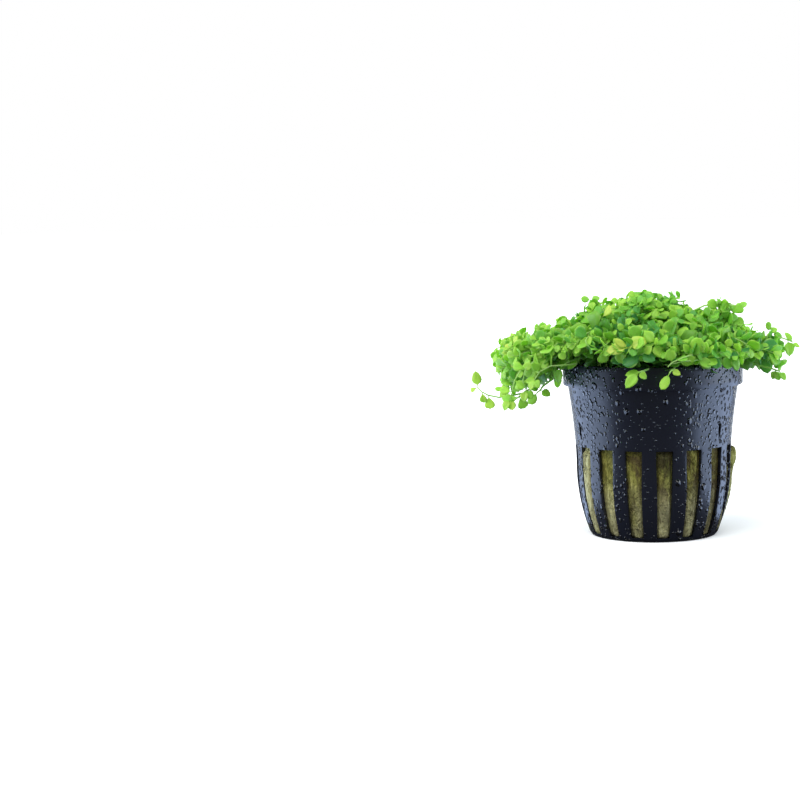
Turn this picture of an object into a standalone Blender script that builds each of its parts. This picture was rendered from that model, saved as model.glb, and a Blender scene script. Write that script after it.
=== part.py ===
# Monte Carlo carpet plant growing out of a rockwool plug in a slotted 5 cm net pot.
# Frame: metres, +Z up, the origin in the middle of the pot's base, the side that is seen towards -Y.

import math

import bmesh
import bpy
from mathutils import Matrix, Vector, noise

MM = 0.001
GAP = 0.3 * MM
WELD = 0.01 * MM
SHARP_PLASTIC = math.radians(32)
SHARP_WOOL = math.radians(40)
SHARP_LEAF = math.radians(50)

# Net pot
POT_HEIGHT = 50.7 * MM
BASE_RADIUS = 18.3 * MM
WAIST_RADIUS = 22.3 * MM
WAIST_HEIGHT = 20.0 * MM
SHOULDER_RADIUS = 24.7 * MM
COLLAR_RADIUS = 26.0 * MM
COLLAR_DEPTH = 6.5 * MM
LIP_ROUNDING = 0.4 * MM
WALL = 1.0 * MM
FLOOR = 1.0 * MM
FLARE_POWER = 1.7
POT_SIDES = 48
OUTER_HEIGHTS = [37.0 * MM, 31.0 * MM, 25.5 * MM, 19.0 * MM, 14.0 * MM, 9.5 * MM, 6.0 * MM, 3.0 * MM]
INNER_HEIGHTS = [4.5 * MM, 8.5 * MM, 13.0 * MM, 20.0 * MM, 30.0 * MM]

# Slots between the pot's ribs, slits above them, and the openings of the base
RIB_COUNT = 16
RIB_PITCH = 2 * math.pi / RIB_COUNT
FIRST_RIB = math.radians(-3.0)
SLOT_BOTTOM = 1.2 * MM
SLOT_TOP = 26.6 * MM
SLOT_WIDTH_TOP = 4.95 * MM
SLOT_WIDTH_BOTTOM = 3.6 * MM
SLIT_AZIMUTHS = [math.radians(a) for a in (-65.0, 55.0, 175.0)]
SLIT_BOTTOM = 28.6 * MM
SLIT_TOP = 33.8 * MM
SLIT_WIDTH = 1.3 * MM
BAR_COUNT = 8
BAR_ANGLE = math.radians(14.0)
HUB_RADIUS = 5.5 * MM
BASE_RING_RADIUS = 15.2 * MM
OPENING_STEPS = 4

# Rockwool plug, which swells out through the slots, most of all on its right
PLUG_TOP = 46.0 * MM
PLUG_BOTTOM = FLOOR + GAP
PLUG_CORNER = 3.2 * MM
PLUG_SIDES = 32
PAD_DEPTH = 3.5 * MM
PAD_SWELL = 0.2 * MM
PAD_SWELL_RIGHT = 1.3 * MM
LEAN_AZIMUTH = math.radians(97.0)

# Mound of tufts, in three rings from the middle outwards
ROOT_HEIGHT = PLUG_TOP + GAP
CROWN_HEIGHT = 70.3 * MM
REACH_LEFT = 44.0 * MM
REACH_RIGHT = 38.0 * MM
REACH_FRONT = 32.5 * MM
REACH_BACK = 36.0 * MM
HANG_LEFT = 42.0 * MM
HANG_RIGHT = 49.2 * MM
HANG_FRONT = 51.2 * MM
HANG_BACK = 48.0 * MM
HANG_POWER = 3
EDGE_HEIGHT = 52.0 * MM
CENTRE_TUFT_RADIUS = 7.5 * MM
CENTRE_TUFT_SIDES = 12
MIDDLE_TUFT_RADIUS = 15.2 * MM
MIDDLE_TUFTS = 5
OUTER_TUFTS = 10
LUMP = 0.8 * MM
LUMP_SPACING = 9.0 * MM
UNDERSIDE_SHARE = 0.92  # of the reach, where the mound's underside ends
CROWN_SHARES = (0.97, 0.9, 0.8, 0.68, 0.56)  # of the reach, where an outer tuft's outline has points
# The crown's rise above the rim, as a share of its full rise, at shares of the reach
CROWN_PROFILE = [(0.0, 1.0), (0.3, 0.93), (0.5, 0.70), (0.7, 0.47), (0.82, 0.40), (0.93, 0.30), (1.0, 0.06)]

# Free shoots. "stem" holds the stem's points in millimetres and "faces" the azimuth that the blades turn to.
# A leaf is the stem point it grows from, the azimuth and elevation of its growth, its length and its width.
STEM_RADIUS = 0.4 * MM
LEAF_THICKNESS = 0.6 * MM
LEAF_SIDES = 8
BLADE_LIFT = math.radians(35.0)
SHOOTS = {
    "shoot_left_trailing": {
        "stem": [
            (-39.8, -5.5, 41.4),
            (-44.4, -6.2, 40.8),
            (-47.4, -6.8, 41.5),
            (-49.2, -7.2, 42.5),
            (-50.5, -7.2, 43.9),
        ],
        "faces": -10,
        "leaves": [
            (4, -90, 84, 4.8, 3.0),
            (4, -90, -25, 2.4, 1.5),
            (3, 60, -80, 3.2, 2.2),
            (2, 60, -82, 4.0, 3.2),
            (1, 70, 40, 2.8, 2.2),
        ],
    },
    "shoot_left_hanging": {
        "stem": [(-36.4, -10.6, 42.9), (-38.2, -11.6, 41.5), (-39.6, -12.2, 40.5)],
        "faces": -20,
        "leaves": [
            (2, -80, 15, 3.6, 3.0),
            (2, -60, -65, 3.0, 2.6),
            (1, 60, -60, 3.8, 3.2),
            (1, -85, -20, 3.4, 2.6),
        ],
    },
    "shoot_left_inner": {
        "stem": [(-31.2, -14.5, 44.7), (-31.8, -15.4, 43.7), (-32.8, -16.0, 43.0)],
        "faces": -20,
        "leaves": [(2, -80, -55, 4.0, 3.0), (1, 70, -25, 3.4, 2.4)],
    },
    "shoot_upper_left": {
        "stem": [(-17.0, -3.0, 67.2), (-17.4, -3.4, 67.9), (-17.6, -3.6, 68.6)],
        "faces": -20,
        "leaves": [(2, -90, 10, 2.8, 2.2), (2, 90, 15, 2.8, 2.2)],
    },
    "shoot_upper_right": {
        "stem": [(15.0, -4.0, 66.6), (18.5, -4.6, 67.0), (21.8, -5.0, 66.8), (24.4, -5.2, 66.2)],
        "faces": 10,
        "leaves": [
            (1, 20, 30, 3.4, 2.8),
            (1, 60, -40, 3.4, 2.8),
            (2, 0, 25, 3.6, 2.8),
            (2, 120, -30, 3.2, 2.6),
            (3, 80, 20, 2.8, 2.0),
        ],
    },
    "shoot_right_sprig": {
        "stem": [(35.0, -3.0, 57.2), (36.8, -3.2, 57.0), (38.6, -3.4, 56.4), (40.0, -3.6, 55.7)],
        "faces": 15,
        "leaves": [(3, -88, 55, 3.6, 1.8), (2, 60, -78, 4.8, 3.2), (3, 85, -38, 2.4, 1.4)],
    },
    "shoot_right_hanging": {
        "stem": [(33.3, -7.9, 48.7), (34.8, -8.4, 48.2), (36.0, -8.8, 47.8)],
        "faces": 20,
        "leaves": [(2, 80, -55, 3.0, 2.2), (1, -40, -65, 2.8, 2.2), (1, 60, -70, 3.2, 2.6)],
    },
    "shoot_front_left": {
        "stem": [(-2.2, -29.8, 50.2), (-3.0, -31.4, 50.2), (-3.8, -32.4, 50.0)],
        "faces": 0,
        "leaves": [(2, -80, -48, 5.6, 3.2), (2, 85, -35, 2.8, 2.2), (1, -90, -15, 4.6, 2.6)],
    },
    "shoot_front_middle": {
        "stem": [(5.8, -29.6, 50.4), (5.2, -31.4, 50.4), (4.6, -32.4, 49.6)],
        "faces": 0,
        "leaves": [(2, -70, -62, 5.0, 2.6), (1, 80, -25, 2.8, 2.0)],
    },
    "shoot_back_left": {
        "stem": [(-25.7, 24.2, 44.9), (-28.4, 26.4, 43.6), (-31.0, 28.0, 43.4), (-32.8, 29.0, 44.6)],
        "faces": -140,
        "leaves": [(1, -160, -60, 3.8, 2.8), (2, -60, 20, 3.4, 2.6), (3, -130, 40, 3.2, 2.4)],
    },
    "shoot_back_middle": {
        "stem": [(2.4, 32.3, 47.4), (3.2, 35.0, 44.8), (4.2, 36.0, 43.2)],
        "faces": 180,
        "leaves": [(1, -100, -20, 3.8, 3.0), (2, 130, -60, 3.4, 2.6), (1, 100, 30, 3.0, 2.2)],
    },
    "shoot_back_right": {
        "stem": [(23.0, 23.8, 58.0), (25.6, 26.6, 58.8), (28.2, 29.6, 58.8)],
        "faces": 140,
        "leaves": [(1, -170, 30, 3.4, 2.6), (1, 60, 0, 3.2, 2.6), (2, 140, 0, 3.2, 2.2)],
    },
}


def direction(azimuth):
    """Unit vector at an azimuth measured from the front, positive to the right."""
    return Vector((math.sin(azimuth), -math.cos(azimuth), 0.0))


def wall_radius(height):
    """Outer radius of the pot's wall below its collar: a barrel under the waist, a flare above it."""
    if height < WAIST_HEIGHT:
        fall = (WAIST_HEIGHT - height) / WAIST_HEIGHT
        return WAIST_RADIUS - (WAIST_RADIUS - BASE_RADIUS) * fall ** 2
    rise = (height - WAIST_HEIGHT) / (POT_HEIGHT - COLLAR_DEPTH - WAIST_HEIGHT)
    return WAIST_RADIUS + (SHOULDER_RADIUS - WAIST_RADIUS) * min(rise, 1.0) ** FLARE_POWER


def material(name, colour, roughness):
    made = bpy.data.materials.new(name)
    made.use_nodes = True
    shader = made.node_tree.nodes["Principled BSDF"]
    shader.inputs["Base Color"].default_value = (*colour, 1.0)
    shader.inputs["Roughness"].default_value = roughness
    shader.inputs["Metallic"].default_value = 0.0
    return made


def new_object(name, mesh, collection, finish=None):
    made = bpy.data.objects.new(name, mesh)
    collection.objects.link(made)
    if finish:
        mesh.materials.append(finish)
    return made


def mesh_from(name, shape):
    """Mesh of a bmesh, its faces turned outwards."""
    bmesh.ops.recalc_face_normals(shape, faces=shape.faces)
    mesh = bpy.data.meshes.new(name)
    shape.to_mesh(mesh)
    shape.free()
    return mesh


def hide_helper(helper):
    helper.hide_render = True
    helper.display_type = "WIRE"


def settle(made, sharp_angle):
    """Replaces the object's mesh by what its modifiers make, shaded smooth but for its sharp edges."""
    bpy.context.view_layer.update()
    graph = bpy.context.evaluated_depsgraph_get()
    mesh = bpy.data.meshes.new_from_object(made.evaluated_get(graph), depsgraph=graph)
    made.modifiers.clear()
    made.data = mesh
    mesh.shade_smooth()
    mesh.set_sharp_from_angle(angle=sharp_angle)


def turned(name, profile, sides, collection, finish):
    """Closed (radius, height) outline, running down its outer side, turned about Z."""
    shape = bmesh.new()
    points = [shape.verts.new((radius, 0.0, height)) for radius, height in profile]
    for start, end in zip(points, points[1:]):
        shape.edges.new((start, end))
    if profile[-1][0] > 0.0:
        shape.edges.new((points[-1], points[0]))
    mesh = bpy.data.meshes.new(name)
    shape.to_mesh(mesh)
    shape.free()
    made = new_object(name, mesh, collection, finish)
    screw = made.modifiers.new("turn", "SCREW")
    screw.steps = screw.render_steps = sides
    screw.use_merge_vertices = True
    screw.merge_threshold = WELD
    return made


def cut(made, cutters):
    difference = made.modifiers.new("cut", "BOOLEAN")
    difference.operation = "DIFFERENCE"
    difference.object = cutters


def add_block(shape, azimuth, bottom, top, width_bottom, width_top, inner, outer, steps):
    """Tapered block standing at an azimuth, from the radius inner to the radius outer(height)."""
    made = bmesh.ops.create_cube(shape, size=1.0)
    corners = made["verts"]
    faces = {face for corner in corners for face in corner.link_faces}
    edges = {edge for corner in corners for edge in corner.link_edges}
    for step in range(1, steps):
        level = step / steps - 0.5
        split = bmesh.ops.bisect_plane(
            shape,
            geom=[*corners, *edges, *faces],
            plane_co=(0.0, 0.0, level),
            plane_no=(0.0, 0.0, 1.0),
        )
        corners = [part for part in split["geom"] if isinstance(part, bmesh.types.BMVert)]
        edges = [part for part in split["geom"] if isinstance(part, bmesh.types.BMEdge)]
        faces = [part for part in split["geom"] if isinstance(part, bmesh.types.BMFace)]
    across = direction(azimuth + math.pi / 2)
    for corner in corners:
        share = corner.co.z + 0.5
        height = bottom + share * (top - bottom)
        width = width_bottom + share * (width_top - width_bottom)
        radius = outer(height) if corner.co.x > 0 else inner
        corner.co = direction(azimuth) * radius + across * corner.co.y * width
        corner.co.z = height


def slot_azimuths():
    return [FIRST_RIB + (index + 0.5) * RIB_PITCH for index in range(RIB_COUNT)]


def pot_cutters(helpers):
    shape = bmesh.new()
    past_wall = COLLAR_RADIUS + WALL
    before_wall = BASE_RING_RADIUS
    for azimuth in slot_azimuths():
        add_block(
            shape, azimuth, SLOT_BOTTOM, SLOT_TOP, SLOT_WIDTH_BOTTOM, SLOT_WIDTH_TOP,
            before_wall, lambda height: past_wall, 1,
        )
    for azimuth in SLIT_AZIMUTHS:
        add_block(
            shape, azimuth, SLIT_BOTTOM, SLIT_TOP, SLIT_WIDTH, SLIT_WIDTH / 2,
            before_wall, lambda height: past_wall, 1,
        )
    for index in range(BAR_COUNT):
        start = FIRST_RIB + index * 2 * RIB_PITCH + BAR_ANGLE / 2
        corners = [
            shape.verts.new(direction(start) * radius + Vector((0.0, 0.0, height)))
            for radius, height in (
                (HUB_RADIUS, -FLOOR), (BASE_RING_RADIUS, -FLOOR),
                (BASE_RING_RADIUS, FLOOR + GAP), (HUB_RADIUS, FLOOR + GAP),
            )
        ]
        outline = shape.faces.new(corners)
        bmesh.ops.spin(
            shape,
            geom=[outline, *outline.edges, *corners],
            axis=(0.0, 0.0, 1.0),
            angle=2 * RIB_PITCH - BAR_ANGLE,
            steps=OPENING_STEPS,
        )
    cutters = new_object("pot_openings", mesh_from("pot_openings", shape), helpers)
    hide_helper(cutters)
    return cutters


def build_pot(collection, helpers):
    collar_bottom = POT_HEIGHT - COLLAR_DEPTH
    collar_inner = COLLAR_RADIUS - WALL
    outer = [
        (COLLAR_RADIUS - LIP_ROUNDING, POT_HEIGHT),
        (COLLAR_RADIUS, POT_HEIGHT - LIP_ROUNDING),
        (COLLAR_RADIUS, collar_bottom),
        (SHOULDER_RADIUS, collar_bottom - LIP_ROUNDING),
    ]
    outer += [(wall_radius(height), height) for height in OUTER_HEIGHTS]
    outer += [(BASE_RADIUS, 0.0), (0.0, 0.0)]
    inner = [(0.0, FLOOR), (wall_radius(FLOOR) - WALL, FLOOR)]
    inner += [(wall_radius(height) - WALL, height) for height in INNER_HEIGHTS]
    inner += [(SHOULDER_RADIUS - WALL, collar_bottom), (collar_inner, collar_bottom + WALL)]
    inner += [(collar_inner, POT_HEIGHT)]
    profile = inner + outer
    plastic = material("pot_plastic", (0.012, 0.014, 0.035), 0.35)
    pot = turned("net_pot", profile, POT_SIDES, collection, plastic)
    cut(pot, pot_cutters(helpers))
    settle(pot, SHARP_PLASTIC)
    return pot


def pad_swell(azimuth):
    """How far the wool stands out past the wall in the middle of a slot."""
    lean = max(0.0, math.cos(azimuth - LEAN_AZIMUTH))
    return PAD_SWELL + (PAD_SWELL_RIGHT - PAD_SWELL) * lean ** 4


def plug_pads(wool, helpers):
    """Blocks of wool that fill the slots, clear of the ribs at their sides."""
    shape = bmesh.new()
    for azimuth in slot_azimuths():
        swell = pad_swell(azimuth)

        def face_radius(height):
            share = (height - SLOT_BOTTOM) / (SLOT_TOP - SLOT_BOTTOM)
            return wall_radius(height) + swell * math.sin(math.pi * share) ** 0.5

        add_block(
            shape, azimuth, SLOT_BOTTOM + 2 * GAP, SLOT_TOP - GAP,
            SLOT_WIDTH_BOTTOM - 2 * GAP, SLOT_WIDTH_TOP - 2 * GAP,
            wall_radius(SLOT_BOTTOM) - PAD_DEPTH, face_radius, 5,
        )
    pads = new_object("wool_pads", mesh_from("wool_pads", shape), helpers, wool)
    hide_helper(pads)
    return pads


def build_plug(collection, helpers):
    wool = material("rockwool", (0.30, 0.27, 0.09), 0.95)
    inside = WALL + GAP
    heights = [height + PLUG_CORNER for height in (PLUG_BOTTOM, PLUG_BOTTOM + 4 * MM)]
    heights += [height for height in INNER_HEIGHTS if height > heights[-1]]
    foot = wall_radius(heights[0]) - inside
    profile = [(0.0, PLUG_TOP), (wall_radius(PLUG_TOP) - inside, PLUG_TOP)]
    profile += [(wall_radius(height) - inside, height) for height in reversed(heights)]
    profile += [
        (foot - PLUG_CORNER * (1 - math.sin(turn)), PLUG_BOTTOM + PLUG_CORNER * (1 - math.cos(turn)))
        for turn in (math.radians(50), math.radians(20))
    ]
    profile += [(foot - PLUG_CORNER, PLUG_BOTTOM), (0.0, PLUG_BOTTOM)]
    plug = turned("rockwool_plug", profile, PLUG_SIDES, collection, wool)
    join = plug.modifiers.new("pads", "BOOLEAN")
    join.operation = "UNION"
    join.object = plug_pads(wool, helpers)
    settle(plug, SHARP_WOOL)
    return plug


def blend(azimuth, left, right, front, back):
    """Value for an azimuth, from those at the left, right, front and back."""
    across = math.sin(azimuth)
    side = right if across > 0 else left
    end = front if math.cos(azimuth) > 0 else back
    return side * across ** 2 + end * math.cos(azimuth) ** 2


def reach(azimuth):
    """Radius of the mound's edge."""
    return blend(azimuth, REACH_LEFT, REACH_RIGHT, REACH_FRONT, REACH_BACK)


def hang_height(azimuth):
    """Height of the mound's underside, which stays over the rim at the front and hangs towards the sides."""
    across = math.sin(azimuth)
    side = HANG_RIGHT if across > 0 else HANG_LEFT
    end = HANG_FRONT if math.cos(azimuth) > 0 else HANG_BACK
    return end + (side - end) * abs(across) ** HANG_POWER


def crown_height(share):
    """Height of the crown at a share of the reach."""
    rise = CROWN_PROFILE[-1][1]
    for (near, high), (far, low) in zip(CROWN_PROFILE, CROWN_PROFILE[1:]):
        if near <= share <= far:
            rise = high + (low - high) * (share - near) / (far - near)
            break
    return POT_HEIGHT + (CROWN_HEIGHT - POT_HEIGHT) * rise


def ring_point(azimuth, radius, height, side_gap):
    """Point of a tuft's outline. side_gap moves it along the ring, to leave room beside its neighbour."""
    aside = direction(azimuth + math.pi / 2) * side_gap
    return direction(azimuth) * radius + aside + Vector((0.0, 0.0, height))


def crown_point(azimuth, radius, side_gap):
    """Point on the lumpy crown."""
    lump = noise.noise(direction(azimuth) * radius / LUMP_SPACING) * LUMP
    return ring_point(azimuth, radius, crown_height(radius / reach(azimuth)) + lump, side_gap)


def outer_section(azimuth, side_gap):
    """Outline of an outer tuft: from its foot in the pot's mouth, over the rim and back over the crown."""
    edge = reach(azimuth)
    hang = hang_height(azimuth)
    foot = MIDDLE_TUFT_RADIUS + GAP
    mouth = COLLAR_RADIUS - WALL - 2 * GAP
    clear = COLLAR_RADIUS + 2 * GAP
    section = [
        ring_point(azimuth, foot, ROOT_HEIGHT, side_gap),
        ring_point(azimuth, SHOULDER_RADIUS - WALL - 2 * GAP, ROOT_HEIGHT, side_gap),
        ring_point(azimuth, mouth, POT_HEIGHT + GAP, side_gap),
        ring_point(azimuth, clear, POT_HEIGHT + GAP, side_gap),
        ring_point(azimuth, clear, min((hang + POT_HEIGHT) / 2, POT_HEIGHT - GAP), side_gap),
        ring_point(azimuth, UNDERSIDE_SHARE * edge, hang, side_gap),
        ring_point(azimuth, edge, (hang + EDGE_HEIGHT) / 2, side_gap),
    ]
    section += [crown_point(azimuth, share * edge, side_gap) for share in CROWN_SHARES]
    return section + [crown_point(azimuth, foot, side_gap)]


def middle_section(azimuth, side_gap):
    inner = CENTRE_TUFT_RADIUS + GAP
    return [
        ring_point(azimuth, inner, ROOT_HEIGHT, side_gap),
        ring_point(azimuth, MIDDLE_TUFT_RADIUS, ROOT_HEIGHT, side_gap),
        crown_point(azimuth, MIDDLE_TUFT_RADIUS, side_gap),
        crown_point(azimuth, (inner + MIDDLE_TUFT_RADIUS) / 2, side_gap),
        crown_point(azimuth, inner, side_gap),
    ]


def loft(shape, sections):
    """Closed body through like outlines, with a face over each end."""
    rings = [[shape.verts.new(point) for point in section] for section in sections]
    count = len(rings[0])
    for ring, following in zip(rings, rings[1:]):
        for index in range(count):
            after = (index + 1) % count
            shape.faces.new((ring[index], ring[after], following[after], following[index]))
    shape.faces.new(rings[0])
    shape.faces.new(rings[-1])


def build_ring_of_tufts(prefix, count, steps, section, collection, leaf):
    """Tufts side by side round the axis, a gap apart."""
    pitch = 2 * math.pi / count
    for tuft in range(count):
        start = (tuft - 0.5) * pitch
        sections = []
        for step in range(steps + 1):
            side_gap = {0: GAP / 2, steps: -GAP / 2}.get(step, 0.0)
            sections.append(section(start + step * pitch / steps, side_gap))
        shape = bmesh.new()
        loft(shape, sections)
        name = f"{prefix}_{tuft + 1:02d}"
        made = new_object(name, mesh_from(name, shape), collection, leaf)
        settle(made, SHARP_LEAF)


def build_centre_tuft(collection, leaf):
    """Round tuft from its root, up to its shoulder and in to its top."""
    azimuths = [2 * math.pi * side / CENTRE_TUFT_SIDES for side in range(CENTRE_TUFT_SIDES)]
    root = [ring_point(azimuth, CENTRE_TUFT_RADIUS, ROOT_HEIGHT, 0.0) for azimuth in azimuths]
    shoulder = [crown_point(azimuth, CENTRE_TUFT_RADIUS, 0.0) for azimuth in azimuths]
    top = [crown_point(azimuth, CENTRE_TUFT_RADIUS / 2, 0.0) for azimuth in azimuths]
    shape = bmesh.new()
    loft(shape, [root, shoulder, top])
    made = new_object("tuft_centre", mesh_from("tuft_centre", shape), collection, leaf)
    settle(made, SHARP_LEAF)


def stem_object(name, points, collection, leaf):
    """Stem as a bevelled curve made into a closed mesh."""
    curve = bpy.data.curves.new(name, "CURVE")
    curve.dimensions = "3D"
    curve.bevel_depth = STEM_RADIUS
    curve.bevel_resolution = 1
    curve.use_fill_caps = True
    line = curve.splines.new("POLY")
    line.points.add(len(points) - 1)
    for place, point in zip(line.points, points):
        place.co = (*(Vector(point) * MM), 1.0)
    guide = new_object(name + "_line", curve, collection)
    bpy.context.view_layer.update()
    graph = bpy.context.evaluated_depsgraph_get()
    mesh = bpy.data.meshes.new_from_object(guide.evaluated_get(graph))
    shape = bmesh.new()
    shape.from_mesh(mesh)
    bmesh.ops.remove_doubles(shape, verts=shape.verts, dist=WELD)
    bmesh.ops.recalc_face_normals(shape, faces=shape.faces)
    shape.to_mesh(mesh)
    shape.free()
    stem = new_object(name, mesh, collection, leaf)
    stem.matrix_world = guide.matrix_world
    bpy.data.objects.remove(guide)
    return stem


def add_leaf(name, foot, growth, facing, length, width, collection, leaf):
    """Leaf as a thin lens, its foot just inside the stem."""
    shape = bmesh.new()
    bmesh.ops.create_uvsphere(shape, u_segments=LEAF_SIDES, v_segments=2, radius=0.5)
    upright = (facing - growth * facing.dot(growth)).normalized()
    turn = Matrix((growth, upright.cross(growth), upright)).transposed().to_4x4()
    size = Matrix.Diagonal((length, width, LEAF_THICKNESS, 1.0))
    place = Matrix.Translation(foot + growth * (length / 2 - STEM_RADIUS))
    bmesh.ops.transform(shape, matrix=place @ turn @ size, verts=shape.verts)
    made = new_object(name, mesh_from(name, shape), collection, leaf)
    hide_helper(made)


def aim(azimuth, elevation):
    """Unit vector at an azimuth and an elevation, both in radians."""
    return direction(azimuth) * math.cos(elevation) + Vector((0.0, 0.0, math.sin(elevation)))


def build_shoot(name, plan, collection, helpers, leaf):
    """Stem with its leaves joined to it in one body."""
    shoot = stem_object(name, plan["stem"], collection, leaf)
    leaves = bpy.data.collections.new(name + "_leaves")
    helpers.children.link(leaves)
    facing = aim(math.radians(plan["faces"]), BLADE_LIFT)
    for number, (index, azimuth, elevation, length, width) in enumerate(plan["leaves"], 1):
        foot = Vector(plan["stem"][index]) * MM
        growth = aim(math.radians(azimuth), math.radians(elevation))
        add_leaf(f"{name}_leaf_{number}", foot, growth, facing, length * MM, width * MM, leaves, leaf)
    join = shoot.modifiers.new("leaves", "BOOLEAN")
    join.operation = "UNION"
    join.operand_type = "COLLECTION"
    join.collection = leaves
    settle(shoot, SHARP_LEAF)


def main():
    for item in list(bpy.data.objects):
        bpy.data.objects.remove(item)
    collection = bpy.data.collections.new("monte_carlo_plant")
    helpers = bpy.data.collections.new("helpers")
    bpy.context.scene.collection.children.link(collection)
    bpy.context.scene.collection.children.link(helpers)
    build_pot(collection, helpers)
    build_plug(collection, helpers)
    tuft_leaf = material("tuft_leaf", (0.10, 0.45, 0.03), 0.5)
    shoot_leaf = material("shoot_leaf", (0.22, 0.60, 0.05), 0.45)
    build_centre_tuft(collection, tuft_leaf)
    build_ring_of_tufts("tuft_middle", MIDDLE_TUFTS, 3, middle_section, collection, tuft_leaf)
    build_ring_of_tufts("tuft_outer", OUTER_TUFTS, 3, outer_section, collection, tuft_leaf)
    for name, plan in SHOOTS.items():
        build_shoot(name, plan, collection, helpers, shoot_leaf)


main()
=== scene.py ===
# Monte Carlo carpet plant in its slotted net pot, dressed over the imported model.
# Metres, +Z up, the pot stands on z = 0 and the side that is seen faces -Y.

import random
from math import atan2, copysign, cos, exp, pi, radians, sin, sqrt, tau

import bmesh
import bpy
from mathutils import Matrix, Vector, noise


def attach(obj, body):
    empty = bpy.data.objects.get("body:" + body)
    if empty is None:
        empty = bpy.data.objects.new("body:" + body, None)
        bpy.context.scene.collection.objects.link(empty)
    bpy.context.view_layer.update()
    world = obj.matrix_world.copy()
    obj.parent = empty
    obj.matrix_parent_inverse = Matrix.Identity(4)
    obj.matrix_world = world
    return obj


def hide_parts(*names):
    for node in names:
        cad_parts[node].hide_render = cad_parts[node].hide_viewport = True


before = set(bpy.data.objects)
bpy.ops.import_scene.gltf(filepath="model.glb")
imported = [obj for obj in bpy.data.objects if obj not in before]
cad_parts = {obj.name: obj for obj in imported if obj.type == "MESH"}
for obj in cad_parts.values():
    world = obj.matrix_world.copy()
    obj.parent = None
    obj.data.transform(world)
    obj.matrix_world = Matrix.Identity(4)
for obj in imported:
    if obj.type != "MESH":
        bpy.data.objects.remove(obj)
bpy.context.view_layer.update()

mm = 0.001
up = Vector((0, 0, 1))
white = (1, 1, 1, 1)
towardsLight = Vector((-0.1, -0.6, 0.8)).normalized()


class Plan(dict):
    # a dictionary whose entries are read as plan.name
    __getattr__ = dict.__getitem__


def metres(value):
    # from millimetres, for a number, a list or a dictionary
    if isinstance(value, dict):
        return Plan({name: metres(part) for name, part in value.items()})
    if isinstance(value, (tuple, list)):
        return [metres(part) for part in value]
    return value * mm


def direction(azimuth):
    # azimuth runs from the seen side (-Y) towards +X
    return Vector((sin(azimuth), -cos(azimuth), 0))


def smoothstep(value):
    value = min(max(value, 0), 1)
    return value * value * (3 - 2 * value)


def linear(stops, value):
    # straight lines between (place, height) stops
    for (left, low), (right, high) in zip(stops, stops[1:]):
        if value <= right:
            share = (value - left) / (right - left)
            return low + (high - low) * share
    return stops[-1][1]


class Wire:
    # an output socket, with operators that add Math nodes
    def __init__(self, finish, socket):
        self.finish = finish
        self.socket = socket

    def maths(self, operation, first, second=0):
        return self.finish.node("Math", {"operation": operation}, {0: first, 1: second})

    def __add__(self, other):
        return self.maths("ADD", self, other)

    def __sub__(self, other):
        return self.maths("SUBTRACT", self, other)

    def __rsub__(self, other):
        return self.maths("SUBTRACT", other, self)

    def __mul__(self, other):
        return self.maths("MULTIPLY", self, other)

    def __truediv__(self, other):
        return self.maths("DIVIDE", self, other)

    def __pow__(self, other):
        return self.maths("POWER", self, other)

    def __abs__(self):
        return self.maths("ABSOLUTE", self)

    def atLeast(self, lowest):
        return self.maths("MAXIMUM", self, lowest)

    def atMost(self, highest):
        return self.maths("MINIMUM", self, highest)

    __radd__ = __add__
    __rmul__ = __mul__


class Finish:
    # the nodes of a material, or of the sky
    def __init__(self, owner):
        owner.use_nodes = True
        self.owner = owner
        self.tree = owner.node_tree
        self.tree.nodes.clear()

    def node(self, kind, settings=None, inputs=None, output=0):
        made = self.tree.nodes.new("ShaderNode" + kind)
        for key, value in (settings or {}).items():
            if key == "stops":
                self.fillRamp(made.color_ramp, value)
            else:
                setattr(made, key, value)
        for key, value in (inputs or {}).items():
            socket = made.inputs[key]
            if isinstance(value, Wire):
                self.tree.links.new(value.socket, socket)
            else:
                socket.default_value = value
        return Wire(self, made.outputs[output])

    def fillRamp(self, ramp, stops):
        while len(ramp.elements) < len(stops):
            ramp.elements.new(1)
        for element, (place, colour) in zip(ramp.elements, stops):
            element.position = place
            element.color = colour

    def place(self, tall=1):
        # object coordinates; what is drawn in them is stretched upwards where tall is under 1
        coordinates = self.node("TexCoord", output="Object")
        return self.node("Mapping", {}, {"Vector": coordinates, "Scale": (1, 1, tall)})

    def pattern(self, tall, scale, detail, roughness=0.5, distortion=0):
        settings = {"Scale": scale, "Detail": detail, "Roughness": roughness, "Distortion": distortion}
        return self.node("TexNoise", {}, {"Vector": self.place(tall), **settings})

    def axis(self, vector, name):
        return self.node("SeparateXYZ", {}, {"Vector": vector}, output=name)

    def ramp(self, value, stops):
        return self.node("ValToRGB", {"stops": stops}, {"Fac": value})

    def between(self, value, low, high):
        # 0 below low, 1 above high, smooth in the middle
        smooth = {"interpolation_type": "SMOOTHSTEP"}
        return self.node("MapRange", smooth, {"Value": value, "From Min": low, "From Max": high})

    def layers(self, colour, look, masks):
        # over the colour, in order, each mask's tint, as strong as the look says
        for name, mask in masks.items():
            strength, tint = look[name]
            sockets = {0: mask * strength, 6: colour, 7: tint}
            colour = self.node("Mix", {"data_type": "RGBA"}, sockets, output=2)
        return colour

    def bump(self, height, distance, strength=1, **more):
        return self.node("Bump", {}, {"Height": height, "Distance": distance, "Strength": strength, **more})

    def surface(self, colour, roughness, relief, **more):
        sockets = {"Base Color": colour, "Roughness": roughness, "Normal": relief, **more}
        return self.node("BsdfPrincipled", {}, sockets)

    def close(self, shader, kind="OutputMaterial"):
        output = self.tree.nodes.new("ShaderNode" + kind)
        self.tree.links.new(shader.socket, output.inputs["Surface"])
        return self.owner


def intoScene(name, data):
    made = bpy.data.objects.new(name, data)
    bpy.context.scene.collection.objects.link(made)
    return made


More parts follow.
